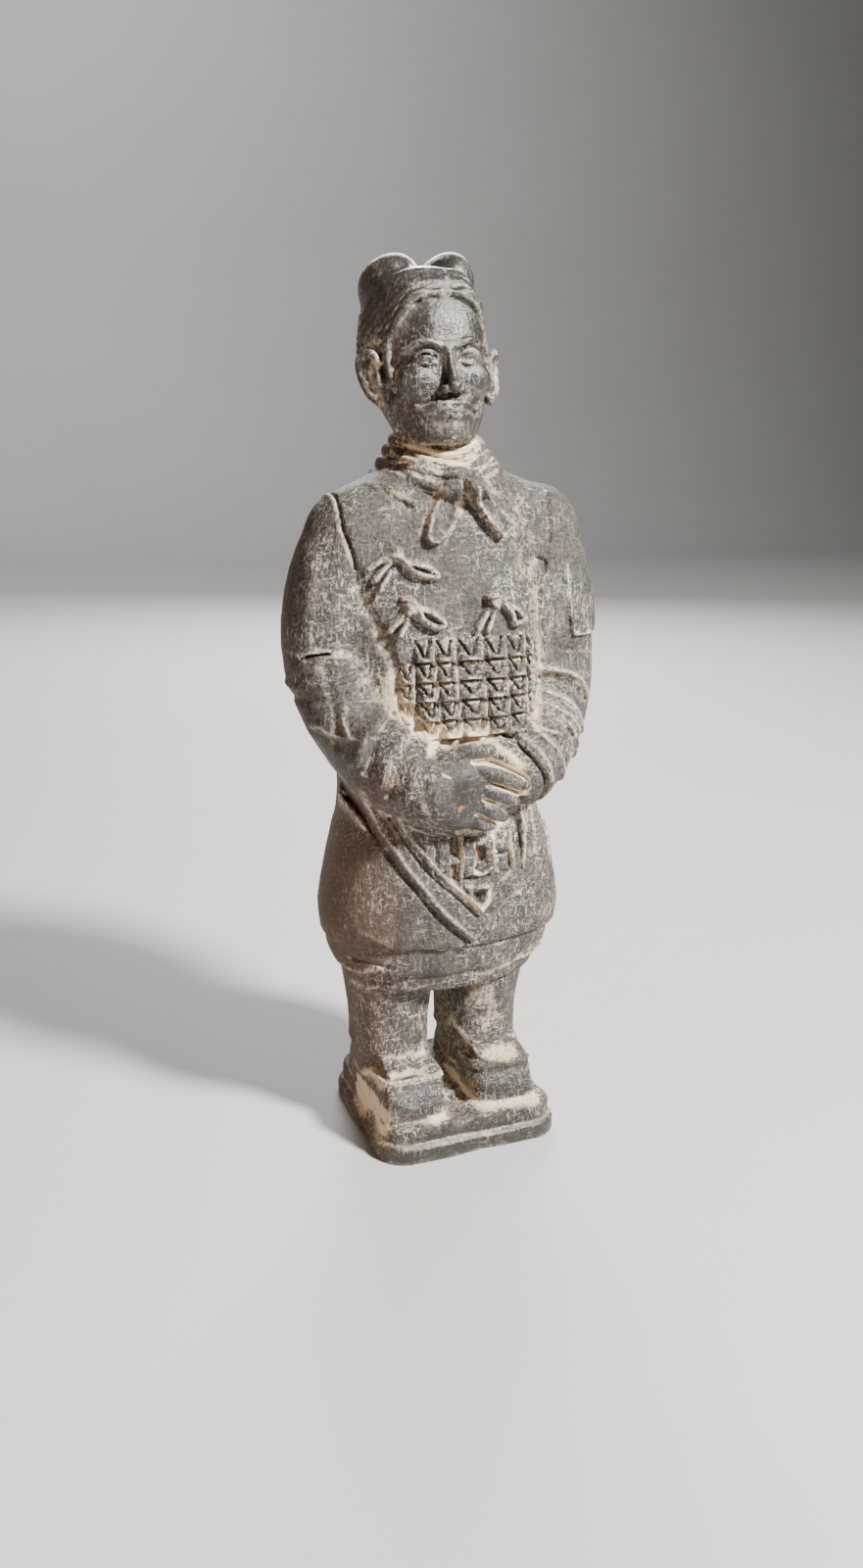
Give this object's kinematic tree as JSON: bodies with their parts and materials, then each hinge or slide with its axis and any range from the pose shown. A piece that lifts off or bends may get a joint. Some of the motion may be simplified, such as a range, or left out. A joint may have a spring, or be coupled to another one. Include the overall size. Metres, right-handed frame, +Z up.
{
  "type": "warrior statuette",
  "caption": "Small dark clay statuette of a standing warrior in scale armour, hands clasped in front, moulded together with a low stepped plinth.",
  "frame": {"origin": "centre of the plinth's flat underside", "axes": "+Z up through the figure, the figure faces -Y, +X at its left hand side"},
  "size_m": [0.0603, 0.0393, 0.1617],
  "materials": {
    "clay": "dry dark grey fired clay, with a cream slip left in its recesses, small orange chips and fine pale rubbing on the high spots"
  },
  "bodies": {
    "root": {"warrior_statue": "clay"}
  },
  "joints": []
}
